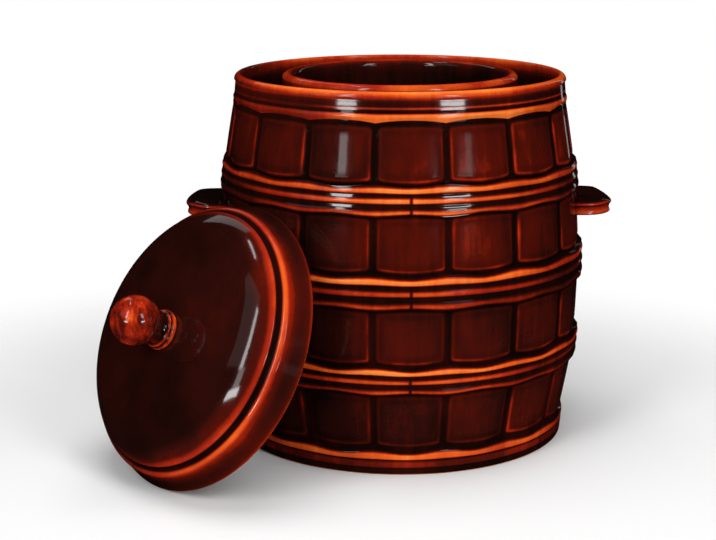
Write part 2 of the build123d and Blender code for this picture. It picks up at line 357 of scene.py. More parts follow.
class CrockGlaze(bpy.types.PropertyGroup):
    """Colours of the breaking glaze and of the bare clay."""

    amber: bpy.props.FloatVectorProperty(
        name="Amber", description="Colour where the glaze is thinnest",
        subtype="COLOR", default=(0.92, 0.25, 0.043), min=0.0, max=1.0)
    orange: bpy.props.FloatVectorProperty(
        name="Orange", description="Colour of thin glaze",
        subtype="COLOR", default=(0.82, 0.115, 0.011), min=0.0, max=1.0)
    red: bpy.props.FloatVectorProperty(
        name="Red", description="Colour of half-thin glaze",
        subtype="COLOR", default=(0.40, 0.020, 0.005), min=0.0, max=1.0)
    mahogany: bpy.props.FloatVectorProperty(
        name="Mahogany", description="Colour of the glaze on a flat face",
        subtype="COLOR", default=(0.086, 0.0056, 0.0022), min=0.0, max=1.0)
    umber: bpy.props.FloatVectorProperty(
        name="Umber", description="Colour of thick glaze",
        subtype="COLOR", default=(0.027, 0.0038, 0.0025), min=0.0, max=1.0)
    black: bpy.props.FloatVectorProperty(
        name="Black", description="Colour where the glaze pools",
        subtype="COLOR", default=(0.0065, 0.0020, 0.0012), min=0.0, max=1.0)
    roughness: bpy.props.FloatProperty(
        name="Glaze roughness", description="Roughness of the fired glaze",
        default=0.07, min=0.0, max=1.0)
    clay: bpy.props.FloatVectorProperty(
        name="Clay", description="Colour of the bare stoneware",
        subtype="COLOR", default=(0.46, 0.36, 0.25), min=0.0, max=1.0)


class CrockStage(bpy.types.PropertyGroup):
    """Lamps, softboxes and floor."""

    side_power: bpy.props.FloatProperty(
        name="Side power", description="Power of each of the two side lamps in watts",
        default=12.0, unit="POWER")
    front_power: bpy.props.FloatProperty(
        name="Front power", description="Power of the soft lamp over the camera in watts",
        default=9.0, unit="POWER")
    top_power: bpy.props.FloatProperty(
        name="Top power", description="Power of the soft lamp over the jar in watts",
        default=17.0, unit="POWER")
    ambient: bpy.props.FloatProperty(
        name="Ambient", description="Strength of the world's light on the object",
        default=0.22, min=0.0, max=2.0)
    card_glow: bpy.props.FloatProperty(
        name="Softbox glow", description="Brightness of the softboxes in the glaze's reflections",
        default=18.0, min=0.0, max=60.0)
    floor_color: bpy.props.FloatVectorProperty(
        name="Floor", description="Colour of the pale floor",
        subtype="COLOR", default=(0.93, 0.93, 0.93), min=0.0, max=1.0)
    floor_radius: bpy.props.FloatProperty(
        name="Floor radius", description="Where the floor has faded into the white background",
        default=0.56, unit="LENGTH")


# ---------------------------------------------------------------- finishes


class Finish:
    """Shader nodes of a new material or world, added one by one."""

    def __init__(self, owner):
        owner.use_nodes = True
        self.tree = owner.node_tree
        self.tree.nodes.clear()

    def node(self, kind, output, inputs=(), **settings):
        """Output socket of a new node whose inputs hold values or are linked to sockets."""
        node = self.tree.nodes.new("ShaderNode" + kind)
        for name, value in settings.items():
            setattr(node, name, value)
        for name, value in dict(inputs).items():
            if isinstance(value, bpy.types.NodeSocket):
                self.tree.links.new(value, node.inputs[name])
            else:
                node.inputs[name].default_value = value
        return node.outputs[output] if output else None

    def noise(self, vector, scale, detail, roughness=0.5):
        """Cloudy values round 0.5."""
        return self.node("TexNoise", "Fac", {
            "Vector": vector, "Scale": scale, "Detail": detail, "Roughness": roughness})

    def math(self, operation, first, second):
        """Result of an operation on two values."""
        return self.node("Math", "Value", {0: first, 1: second}, operation=operation)

    def ranged(self, value, low, high, to_low=0.0, to_high=1.0, **settings):
        """Value taken from one range to another, and held at its ends."""
        return self.node("MapRange", "Result", {
            "Value": value, "From Min": low, "From Max": high,
            "To Min": to_low, "To Max": to_high}, **settings)

    def ramp(self, value, *stops):
        """Colour that a value gives, from stops of a position and a colour."""
        node = self.tree.nodes.new("ShaderNodeValToRGB")
        elements = node.color_ramp.elements
        while len(elements) < len(stops):
            elements.new(0.5)
        for element, (position, colour) in zip(elements, stops):
            element.position = position
            element.color = (*colour, 1.0)
        self.tree.links.new(value, node.inputs["Fac"])
        return node.outputs["Color"]

    def blend(self, share, first, second):
        """Colour between two colours."""
        return self.node("Mix", "Result", {"Factor": share, "A": first, "B": second},
                         data_type="RGBA")

    def bump(self, height, strength, distance):
        """Normal of a surface with fine relief."""
        return self.node("Bump", "Normal", {
            "Height": height, "Strength": strength, "Distance": distance})

    def surface(self, shader, kind="Material"):
        """Shader seen on the material's or world's surface."""
        self.node("Output" + kind, None, {"Surface": shader})


def glaze_material(name, seed, streak, runs_depth=0.30, clouds_depth=0.34):
    """Glossy brown glaze that breaks to orange where it is thin and blackens where it pools.

    seed moves its noise, streak is the scale of its runs along each axis, and the depths say
    how much its runs and clouds change its thickness."""
    look = bpy.context.scene.crock_glaze
    material = bpy.data.materials.new(name)
    finish = Finish(material)
    place = finish.node("Mapping", "Vector", {
        "Vector": finish.node("TexCoord", "Object"),
        "Location": (seed * 0.37, seed * 0.61, seed * 0.23)})
    streaked = finish.node("Mapping", "Vector", {"Vector": place, "Scale": streak})
    thickness = finish.node("Attribute", "Fac", attribute_name="glaze")

    def uneven(vector, scale, detail, roughness, amount):
        """Noise round zero."""
        level = finish.math("SUBTRACT", finish.noise(vector, scale, detail, roughness), 0.5)
        return finish.math("MULTIPLY", level, amount)

    streaks = uneven(streaked, 1.0, 4.0, 0.65, runs_depth)
    clouds = uneven(place, 24.0, 3.0, 0.55, clouds_depth)
    specks = uneven(place, 460.0, 2.0, 0.5, 0.08)
    drift = uneven(place, 8.0, 1.0, 0.5, 0.42)
    fine = finish.math("ADD", finish.math("ADD", streaks, clouds), specks)
    # Runs, clouds and specks show less where the glaze is thin, as on the rings
    spread = finish.ranged(thickness, 0.0, 0.5, 0.55, 1.0)
    runs = finish.math("ADD", finish.math("MULTIPLY", fine, spread), drift)
    cover = finish.math("ADD", thickness, runs)
    glaze = finish.ramp(cover, (0.0, look.amber), (0.12, look.orange), (0.32, look.red),
                        (0.58, look.mahogany), (0.80, look.umber), (1.0, look.black))
    # Well below zero there is no glaze: the piece stood on that edge in the kiln
    bare = finish.ranged(thickness, -0.3, -0.6)
    roughness = finish.math(
        "ADD", finish.ranged(cover, 0.0, 1.0, look.roughness * 2.0, look.roughness),
        finish.math("MULTIPLY", bare, 0.6))
    dull = finish.node("Attribute", "Fac", attribute_name="dull")
    finish.surface(finish.node("BsdfPrincipled", "BSDF", {
        "IOR": 1.5,
        "Base Color": finish.blend(bare, glaze, (*look.clay, 1.0)),
        "Roughness": roughness,
        "Specular IOR Level": finish.ranged(dull, 0.0, 1.0, 0.5, 0.006),
        "Normal": finish.bump(finish.noise(place, 90.0, 2.0), 0.12, 0.0004)}))
    return material


def clay_material(name):
    """Bare fired stoneware with a fine grain, small iron specks and a dry surface."""
    clay = bpy.context.scene.crock_glaze.clay
    material = bpy.data.materials.new(name)
    finish = Finish(material)
    place = finish.node("TexCoord", "Object")
    grain = finish.noise(place, 300.0, 4.0)
    specks = finish.node("TexVoronoi", "Distance", {"Vector": place, "Scale": 240.0})
    grained = finish.ramp(grain, (0.30, [0.82 * c for c in clay]),
                          (0.75, [min(1.0, 1.18 * c) for c in clay]))
    speck = (*(0.35 * c for c in clay), 1.0)
    finish.surface(finish.node("BsdfPrincipled", "BSDF", {
        "Base Color": finish.blend(finish.ranged(specks, 0.06, 0.14), speck, grained),
        "Roughness": finish.ranged(grain, 0.0, 1.0, 0.72, 0.92),
        "Normal": finish.bump(grain, 0.35, 0.0005)}))
    return material


# ---------------------------------------------------------------- jar


def cask_radius(height):
    """Radius of the bowed staves at a height, before panels and hoops are added."""
    rise = height - BELLY_HEIGHT
    return STAVE_RADIUS - STAVE_BOW_RADIUS + np.sqrt(STAVE_BOW_RADIUS**2 - rise**2)


def hoop_span(hoop):
    """Lower and upper end of a hoop."""
    half = HOOP_BEADS * hoop.pitch / 2
    return hoop.height - half, hoop.height + half


def stave_angles():
    """Angles round the jar, close together at the grooves and at each stave's middle.

    Each has its share of the way from its stave's middle to the groove, from -1 to 1."""
    near = [HALF_STAVE - step for step in (0.0, 0.7, 1.4, 2.1, 2.8, 3.6, 4.6, 6.2, 8.6,
                                           12.0, 16.0, 20.5)]
    offsets = [-d for d in near] + [-1.6, -0.6, 0.0, 0.6, 1.6] + near[:0:-1]
    shares = np.array(sorted(offsets)) / HALF_STAVE
    middles = 2 * math.pi * np.arange(STAVE_COUNT) / STAVE_COUNT
    angles = middles[:, None] + shares * math.pi / STAVE_COUNT
    return angles.ravel(), np.tile(shares, STAVE_COUNT)


class Wall:
    """Rings of the jar's wall, from the foot up to the rim and down again inside."""

    def __init__(self, look):
        self.angles, self.shares = stave_angles()
        self.look = look
        self.radii, self.heights, self.glaze, self.satin = [], [], [], []
        # 0 in front and behind, 1 at the right and -1 at the left
        self.side = np.sin(self.angles + math.pi / 2)
        # Each stave's glaze is a little thicker or thinner, and its edges are worn thin at
        # random;
        # the edge that faces the front is thinned more, a painted highlight for the light it
        # catches
        chance = np.random.default_rng(11)
        spread = len(self.angles) // STAVE_COUNT
        self.stave_tone = np.repeat(chance.uniform(-0.03, 0.04, STAVE_COUNT), spread)
        uneven = np.repeat(chance.uniform(0.2, 0.5, (2, STAVE_COUNT)), spread, axis=1)
        self.left_wear_and_light = uneven[0] + 1.4 * np.clip(self.side, 0, 0.6)
        self.right_wear_and_light = uneven[1] + 1.4 * np.clip(-self.side, 0, 0.6)

    def wander(self, seed, amount):
        """Slow change along a ring, different for each ring."""
        chance = np.random.default_rng(seed)
        total = 0.0
        for turns in (1, 2, 3, 5, 8, 13):
            total = total + chance.uniform(0.4, 1) * np.cos(
                turns * self.angles + chance.uniform(0, 2 * math.pi))
        return amount * total / 2.5

    def swell(self, amount):
        """How far a ring's edge swells at each angle: most at the grooves."""
        return amount * (0.25 - 0.5 * np.cos(math.pi * self.shares))

    def add(self, radius, height, glaze, satin=0.0):
        """One ring, each of its values the same all round or one per angle."""
        for values, value in ((self.radii, radius), (self.heights, height),
                              (self.glaze, glaze), (self.satin, satin)):
            values.append(value * np.ones_like(self.angles))

    def follow(self, points, glaze):
        """Rings through points (radius, height), all with the same glaze."""
        for radius, height in points:
            self.add(radius, height, glaze)

    def bead(self, low, high, crest, depth, band, deep, samples, seed, seam=0.0, bowed=0.0,
             crown=1, satin=0.0):
        """One raised ring between two heights, with a band of thin glaze on its crest.

        Its edges lie depth below the crest and have the glaze deep. seam is the share of the
        mould seam's dent at each angle. With bowed 1 it follows the cask's bow, a higher crown
        makes it narrower, and satin says how dull its skin is."""
        # Painted shade: the band is painted thicker and darker away from the front, towards the
        # jar's sides
        thin = band.thin + band.side * np.clip(1 - np.cos(self.angles + math.pi / 2), 0, 0.6)
        thin = thin + self.wander(seed, 0.07)
        upper = band.up + self.wander(seed + 50, 0.10)
        dent = seam * self.look.seam_depth / MM
        for step in range(1, samples):
            phase = 2 * step / samples - 1
            hump = (0.5 + 0.5 * math.cos(math.pi * phase))**crown
            height = mix(low, high, step / samples)
            bow = bowed * (cask_radius(height) - cask_radius((low + high) / 2))
            cover = 1 - smooth(upper - 0.35, upper + 0.45, phase)
            cover = cover * (1 - smooth(band.down - 0.16, band.down + 0.2, -phase))
            shade = mix(deep, np.clip(thin, 0.02, 0.6), cover)
            shade = mix(shade, deep, np.clip(seam, 0, 1) * 0.8)
            self.add(crest - depth * (1 - hump) - dent + bow, height, shade, satin)

    def panels(self, low_end, high_end, low, high, low_radius, high_radius, tone):
        """One row of panels with its valleys, between a ring below and a ring above."""
        look = self.look
        edge = np.abs(self.shares)
        # Sills and heads pass their own height at 0.6 of the way to the panel's side
        curve = 0.6**2 - edge**2
        sill = low - look.panel_sag / MM * curve
        head = high + look.panel_arch / MM * curve
        side = HALF_STAVE * (1 - edge) - look.groove_width / MM / 2
        heights = [mix(low_end, sill - 1.6, step / 4) for step in range(4)]
        heights += [sill + step for step in (-1.6, -0.9, -0.2, 0.5, 1.2, 1.9, 2.7, 3.6, 4.8)]
        heights += [mix(sill + 4.8, head - 4.2, step / 9) for step in range(1, 9)]
        heights += [head - step for step in (4.2, 3.2, 2.3, 1.5, 0.8, 0.1, -0.6)]
        heights += [mix(head + 0.6, high_end, step / 3.5) for step in range(1, 4)]
        pillow = look.panel_pillow / MM * edge**2
        # Painted shade: each panel's glaze is painted darker on its side turned away from the
        # front, and the panels on the jar's left are painted darker too
        far = self.shares * np.clip(self.side * 2.5, -1, 1)
        soft = look.panel_soft / MM
        edge_wear_and_light = mix(self.left_wear_and_light, self.right_wear_and_light, smooth(-0.4, 0.4, self.shares))
        face_glaze_and_shade = tone + self.stave_tone + 0.07 * far + 0.12 * smooth(0.15, 0.5, -self.side)
        for height in heights:
            over_sill = height - sill
            under_head = head - height
            share = np.clip((height - low) / (high - low), 0, 1)
            face = mix(low_radius, high_radius, share) + 0.4 * share * (1 - share) - pillow
            valley = cask_radius(height) - VALLEY_SHOWN - 0.5 * pillow
            ground = face - look.groove_depth / MM
            ground = mix(ground, np.minimum(ground, valley), smooth(6.0, 1.0, over_sill))
            ground = mix(ground, np.maximum(ground, face - HEAD_STEP),
                         smooth(6.0, 1.0, under_head))
            # Distance in from the panel's edge, which has rounded corners
            inside = rounded_least(side, over_sill, look.panel_corner / MM)
            inside = rounded_least(inside, under_head, look.panel_corner / MM)
            radius = mix(ground, face, smooth(-0.45 * soft, soft, inside))
            patchy = 1 + 0.35 * np.sin(23 * self.angles + height / 7) + 0.25 * np.sin(
                41 * self.angles - height / 4 + 2)
            # Along the border the glaze is thinned by random wear, and more on the edges that
            # face the front: a painted highlight there
            wear_and_light = mix(0.95, edge_wear_and_light, smooth(0.8, 4.0, over_sill)) * patchy
            wear_and_light = wear_and_light * smooth(0.5, 9.0, under_head)
            reach = 0.8 + 0.7 * np.clip(wear_and_light - 0.7, 0, 1)
            border = np.exp(-((inside - 1.6) / reach) ** 2)
            glaze = mix(POOLED, face_glaze_and_shade, smooth(-0.6, 1.6, inside))
            glaze = glaze + 0.08 * np.exp(-((inside - 4.5) / 2.2) ** 2)
            glaze = glaze - look.edge_thinning * border * wear_and_light
            self.add(radius, height, np.clip(glaze, 0, 1), smooth(6.4, 4.2, inside))

    def foot(self):
        """Flat underside, rounded edge and the two rings above it."""
        self.follow([(radius, 0.0) for radius in (
            20.0, 60.0, 100.0, FOOT_RADIUS - 8.0, FOOT_RADIUS - 3.0)], BARE)
        for radius, height in arc((FOOT_RADIUS - FOOT_ROUND, FOOT_ROUND), FOOT_ROUND, -90, 0, 4):
            self.add(radius, height, mix(-0.7, 0.93, smooth(0.0, 0.6, height / FOOT_ROUND)))
        self.add(FOOT_RADIUS, FOOT_HEIGHT - 1.0, 0.9)
        self.add(FOOT_RADIUS - 0.4, FOOT_HEIGHT, 0.92)
        crest = FOOT_RADIUS + BASE_RING_STEP
        middle = FOOT_HEIGHT + BASE_RING_PITCH
        self.bead(FOOT_HEIGHT, middle, crest, BASE_RING_DEPTH, BASE_BANDS[0], 0.82, 12, 30)
        self.add(crest - BASE_RING_DEPTH, middle, 0.82)
        self.bead(middle, middle + BASE_RING_PITCH + self.swell(BASE_RING_SWELL),
                  crest + BASE_RING_STEP, BASE_RING_DEPTH, BASE_BANDS[1], 0.95, 12, 31)

    def staves(self):
        """Four rows of panels with the three hoops and the ridge under the rim between them."""
        cusp = self.swell(self.look.ring_wave / MM * 0.7)
        swell = self.swell(BASE_RING_SWELL)
        ring_top = FOOT_HEIGHT + 2 * BASE_RING_PITCH
        ridge_low = RIM_RIDGE_HEIGHT - RIM_RIDGE_WIDTH / 2
        bottoms = [hoop_span(hoop)[0] for hoop in HOOPS] + [ridge_low]
        # The mould's seams run up the front and the back
        seam = 0.0
        for turn in (math.pi / 2, -math.pi / 2):
            away = np.angle(np.exp(1j * (self.angles + turn))) * STAVE_RADIUS
            seam = seam + np.exp(-(away / SEAM_WIDTH)**4)
        for row, (panel, bottom) in enumerate(zip(PANEL_ROWS, bottoms)):
            low = ring_top + panel.sill_gap
            high = bottom - panel.head_gap
            low_radius = cask_radius(low) - PANEL_INSET if row else WAIST_RADIUS
            self.panels(ring_top + swell, bottom - cusp, low, high, low_radius,
                        cask_radius(high) - PANEL_INSET, panel.glaze)
            if row < len(HOOPS):
                swell = self.swell(HOOPS[row].swell)
                self.hoop(row, cusp, swell, seam)
                ring_top = hoop_span(HOOPS[row])[1]

    def hoop(self, row, cusp, swell, seam):
        """Three beads: the lowest dips and the uppermost swells towards the grooves."""
        hoop = HOOPS[row]
        low, high = hoop_span(hoop)
        edge = hoop.rise - hoop.depth
        for index, band in enumerate(BEAD_BANDS):
            top_bead = index == HOOP_BEADS - 1
            start = low + index * hoop.pitch
            bottom = start if index else start - cusp
            end = start + hoop.pitch + (swell if top_bead else 0.0)
            crest = cask_radius(start + hoop.pitch / 2) + hoop.rise
            self.add(cask_radius(bottom) + edge, bottom, 0.91 if index else 0.96, hoop.matt)
            if not top_bead:
                band = band._replace(thin=band.thin + hoop.cover)
            self.bead(bottom, end, crest, hoop.depth, band, hoop.line_glaze, 14,
                      10 * row + index, 0.0 if top_bead else seam, 1.0, 3, hoop.matt)
        self.add(cask_radius(high + swell) + edge, high + swell, POOLED)

    def rim(self):
        """Ridge over the panels, groove, fine bead, cove and round lip."""
        cusp = self.look.ring_wave / MM * (np.abs(self.shares)**2.2 - 0.25)
        low = RIM_RIDGE_HEIGHT - RIM_RIDGE_WIDTH / 2
        high = low + RIM_RIDGE_WIDTH
        crest = cask_radius(RIM_RIDGE_HEIGHT) + RIM_RIDGE_RISE
        ground = crest - RIM_RIDGE_DEPTH
        # Painted shade on the jar's left: the ridge and the fine bead are painted darker there
        left = smooth(0.30, 0.62, -self.side)
        self.add(ground, low - cusp, 0.95)
        self.bead(low - cusp, high, crest, RIM_RIDGE_DEPTH,
                  Band(0.10 + 0.42 * left, 0.85, 0.95, 0.1), 0.91, 14, 40)
        self.add(ground, high, 0.91)
        # Above the ridge the glaze runs smoothly over a groove, a fine line and a cove
        lip_low = JAR_HEIGHT - RIM_LIP_ROUND
        bead_low = RIM_BEAD_HEIGHT - RIM_BEAD_WIDTH / 2
        bead_high = bead_low + RIM_BEAD_WIDTH
        for share, shade in ((0.25, 0.92), (0.55, 0.91), (0.8, 0.88)):
            self.add(ground - 0.25 * share, mix(high, bead_low, share), shade)
        for share, shade, swell in ((0.0, 0.8, 0.0), (0.25, 0.45, 0.18), (0.5, 0.26, 0.25),
                                    (0.75, 0.5, 0.15), (1.0, 0.76, 0.0)):
            self.add(ground - 0.25 - 0.2 * share + 0.15 * swell,
                     mix(bead_low, bead_high, share), mix(shade, 0.8, 0.7 * left))
        for share, inset, shade in ((0.2, 0.1, 0.80), (0.4, 0.2, 0.76), (0.58, 0.3, 0.68),
                                    (0.72, 0.38, 0.55), (0.84, 0.42, 0.40)):
            self.add(ground - 0.45 - inset, mix(bead_high, lip_low, share), shade)
        # Random unevenness of the lip's glaze, and painted shade that darkens the lip on the
        # jar's left
        uneven = self.wander(41, 0.06) + 0.30 * smooth(0.62, 0.98, -self.side)
        self.add(RIM_RADIUS, lip_low, 0.34 + uneven)
        lip = RIM_RADIUS - RIM_LIP_ROUND
        for step, (radius, height) in enumerate(
                arc((lip, lip_low), RIM_LIP_ROUND, 0, 90, 10)[1:]):
            self.add(radius, height, mix(0.30, 0.10, smooth(0, 5, step)) + uneven)
        inner = RIM_WALL - RIM_LIP_ROUND
        self.follow(arc((lip, JAR_HEIGHT - inner), inner, 90, 180, 5)[1:], 0.26 + uneven)

    def inside(self):
        """Water channel, neck and the cask's cavity down to its floor, their glaze painted darker
        further in: painted shade.
        """
        outer = RIM_RADIUS - RIM_WALL
        floor = JAR_HEIGHT - CHANNEL_DEPTH
        corner = floor + CHANNEL_CORNER
        # Painted shade: the channel's walls darken from the lip down into the channel
        for share in parts(8):
            self.add(outer, mix(JAR_HEIGHT - 2.0, corner, share),
                     mix(0.36, 0.96, smooth(0, 0.34, share)))
        self.follow(arc((outer - CHANNEL_CORNER, corner), CHANNEL_CORNER, 0, -90, 5)[1:],
                    POOLED)
        self.follow(arc((NECK_RADIUS + CHANNEL_CORNER, corner), CHANNEL_CORNER, -90, -180, 5),
                    POOLED)
        half = NECK_WALL / 2
        neck_top = JAR_HEIGHT - half
        for share in parts(8):
            self.add(NECK_RADIUS, mix(corner, neck_top, share),
                     mix(0.92, 0.55, smooth(0.3, 1, share)))
        # Random unevenness, and a painted highlight: the neck's glaze is painted thinner and
        # lighter where it faces the front and the back
        uneven = self.wander(42, 0.10) - 0.10 * np.exp(-(self.side / 0.25)**2)
        for step, (radius, height) in enumerate(
                arc((NECK_RADIUS - half, neck_top), half, 0, 180, 14)[1:]):
            self.add(radius, height, mix(0.31, 0.85, smooth(0.35, 0.9, step / 14)) + uneven)
        mouth = NECK_RADIUS - NECK_WALL
        ceiling = floor - CHANNEL_FLOOR
        # Painted shade: the neck's inside is painted black, darkest deep in
        for share in parts(7):
            self.add(mouth, mix(neck_top, ceiling, share), mix(0.92, 1.10, share))
        side_top = ceiling - SHOULDER_ROUND
        side_low = FLOOR_THICKNESS + FLOOR_CORNER
        inset = VALLEY_DEPTH + SIDE_WALL
        top_radius = cask_radius(side_top) - inset
        middle = cask_radius(BELLY_HEIGHT) - inset
        low_radius = WAIST_RADIUS - SIDE_WALL
        shoulder = (top_radius - SHOULDER_ROUND, side_top)
        self.follow([(mix(mouth, shoulder[0], share), ceiling) for share in (0.35, 0.7)],
                    POOLED)
        self.follow(arc(shoulder, SHOULDER_ROUND, 90, 0, 8), POOLED)
        self.follow(three_point_arc((top_radius, side_top), (middle, BELLY_HEIGHT),
                                    (low_radius, side_low), 12)[1:], 0.95)
        self.follow(arc((low_radius - FLOOR_CORNER, side_low), FLOOR_CORNER, 0, -90, 6)[1:],
                    0.95)
        self.follow([(radius, FLOOR_THICKNESS) for radius in (80.0, 55.0, 25.0)], 0.85)


class CROCK_OT_build_jar(bpy.types.Operator):
    """Build the jar with its hoops, panels, rim, water channel and neck"""

    bl_idname = "crock.build_jar"
    bl_label = "Jar"

    def execute(self, context):
        wall = Wall(context.scene.crock_shape)
        wall.foot()
        wall.staves()
        wall.rim()
        wall.inside()
        points, faces = lathe(wall.angles, np.array(wall.radii), np.array(wall.heights))
        make_mesh("jar_body_glazed", points * MM, faces,
                  np.concatenate([*wall.glaze, [BARE, 0.95]]), "jar", "jar_body",
                  glaze_material("cask_glaze", 1.0, (170.0, 170.0, 14.0)),
                  np.concatenate([*wall.satin, [0.0, 0.0]]))
        return {"FINISHED"}


# ---------------------------------------------------------------- lid and knob


def lid_outline():
    """Points (radius, height, glaze) of the lid, from under its middle round to the top."""
    edge = (SKIRT_RADIUS, SKIRT_EDGE_ROUND)
    skirt_top = (SKIRT_TOP_RADIUS, SKIRT_HEIGHT)
    valley = (LID_VALLEY_RADIUS, LID_VALLEY_HEIGHT)
    valley_low = (LID_VALLEY_RADIUS + LID_VALLEY_LIP, LID_VALLEY_HEIGHT - LID_VALLEY_LIP)
    crest = (SKIRT_TOP_RADIUS - LID_RIDGE_DROP, (SKIRT_HEIGHT + valley_low[1]) / 2)
    dome_edge = (DOME_RADIUS, DOME_EDGE_HEIGHT)
    shoulder = (LID_SHOULDER_RADIUS, LID_SHOULDER_HEIGHT)
    seat = (KNOB_FOOT_RADIUS, DOME_HEIGHT)
    crown_middle = bow_middle(shoulder, seat, CROWN_BOW_RADIUS)
    inner_edge = (SKIRT_RADIUS - LID_WALL, SKIRT_EDGE_ROUND)
    inner_corner = (LID_VALLEY_RADIUS - LID_WALL, LID_VALLEY_HEIGHT)
    inner_shoulder = (LID_SHOULDER_RADIUS - LID_WALL / 2, LID_SHOULDER_HEIGHT - LID_WALL)
    inner_seat = (KNOB_FOOT_RADIUS, DOME_HEIGHT - LID_WALL)
    outline = []

    def add(points, glaze):
        """Points with one glaze, or with what a function gives for their share of the way."""
        for step, point in enumerate(points):
            shade = glaze(step / (len(points) - 1)) if callable(glaze) else glaze
            outline.append((*point, shade))

    # Underside, from the middle out
    add([(3.0, DOME_HEIGHT - LID_WALL)], 0.85)
    add(three_point_arc(inner_seat, (crown_middle[0], crown_middle[1] - LID_WALL),
                        inner_shoulder, 10), 0.85)
    add(three_point_arc(inner_shoulder,
                        bow_middle(inner_corner, inner_shoulder, SHOULDER_BOW_RADIUS),
                        inner_corner, 8)[1:], 0.85)
    add([between(inner_corner, inner_edge, share) for share in parts(6)], 0.6)
    # Edge that it stands on, skirt, ridge and groove
    add(arc((inner_edge[0] + SKIRT_EDGE_ROUND, SKIRT_EDGE_ROUND), SKIRT_EDGE_ROUND,
            180, 270, 4)[1:], lambda s: mix(0.35, BARE, s))
    add(arc((SKIRT_RADIUS - SKIRT_EDGE_ROUND, SKIRT_EDGE_ROUND), SKIRT_EDGE_ROUND,
            -90, 0, 8), lambda s: mix(BARE, 0.45, smooth(0.35, 0.7, s)))
    for share in parts(8):
        add([between(edge, skirt_top, share)],
            mix(0.62, 0.74, math.sin(math.pi * share)) - 0.14 * share**4)
    add(three_point_arc(skirt_top, crest, valley_low, 12)[1:],
        lambda s: 0.46 - 0.29 * smooth(0.05, 0.5, s) + 0.80 * smooth(0.66, 0.95, s))
    add([valley], POOLED)
    add([between(valley, dome_edge, 0.5)], 0.95)
    # Dome
    add([dome_edge], 0.30)
    add(three_point_arc(dome_edge, bow_middle(dome_edge, shoulder, SHOULDER_BOW_RADIUS),
                        shoulder, 24)[1:],
        lambda s: 0.28 + 0.34 * smooth(0.0, 0.30, s) + 0.24 * smooth(0.3, 0.9, s))
    add(three_point_arc(shoulder, crown_middle, seat, 16)[1:],
        lambda s: 0.86 + 0.04 * smooth(0.0, 0.6, s))
    add([(3.0, DOME_HEIGHT)], 0.85)
    return outline


def lid_matrix():
    """Pose of the leaning lid, placed so that its box is the CAD lid's box."""
    turned = Matrix.Rotation(LID_FACING, 4, "Z") @ Matrix.Rotation(
        math.pi / 2 - LID_AXIS_RISE, 4, "Y")
    axis = turned.to_3x3() @ Vector((0, 0, 1))
    low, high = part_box("lid_shell")
    outline = lid_outline()
    place = Vector((0, 0, 0))
    for side in range(3):
        spread = math.sqrt(max(0.0, 1 - axis[side]**2))
        top = max(h * MM * axis[side] + r * MM * spread for r, h, g in outline)
        bottom = min(h * MM * axis[side] - r * MM * spread for r, h, g in outline)
        place[side] = ((high[side] - top) + (low[side] - bottom)) / 2
    return Matrix.Translation(place) @ turned


def lid_piece(name, node, outline, count, material, uneven, satin_radius=1000.0):
    """Piece turned about the lid's axis from an outline, then put in the lid's pose.

    uneven paints its glaze thicker and darker on the side turned away from the front, a painted
    shade for that side's lesser light, and beyond satin_radius its skin is dull."""
    angles = np.arange(count) * 2 * math.pi / count
    rows = np.array(outline)
    ones = np.ones(count)
    points, faces = lathe(angles, rows[:, :1] * ones, rows[:, 1:2] * ones)
    glaze = rows[:, 2:3] * ones
    # Painted shade on the side turned away from the front
    away = (0.5 - 0.5 * np.sin(angles + 0.15 * np.sin(3 * angles)))**1.3
    glaze = np.where(glaze > 0, np.minimum(glaze + uneven * away, np.maximum(glaze, 0.92)), glaze)
    glaze = np.concatenate([glaze.ravel(), [rows[0, 2], rows[-1, 2]]])
    satin = smooth(-1.0, 0.0, np.hypot(points[:, 0], points[:, 1]) - satin_radius)
    pose = lid_matrix()
    points = points * MM @ np.array(pose.to_3x3()).T + np.array(pose.translation)
    make_mesh(name, points, faces, glaze, "lid", node, material, satin)


class CROCK_OT_build_lid(bpy.types.Operator):
    """Build the domed lid that leans on the jar"""

    bl_idname = "crock.build_lid"
    bl_label = "Lid"

    def execute(self, context):
        material = glaze_material("lid_glaze", 2.0, (60.0, 60.0, 60.0), 0.16, 0.30)
        lid_piece("lid_shell_glazed", "lid_shell", lid_outline(), 288, material, 0.62,
                  SKIRT_TOP_RADIUS)
        return {"FINISHED"}


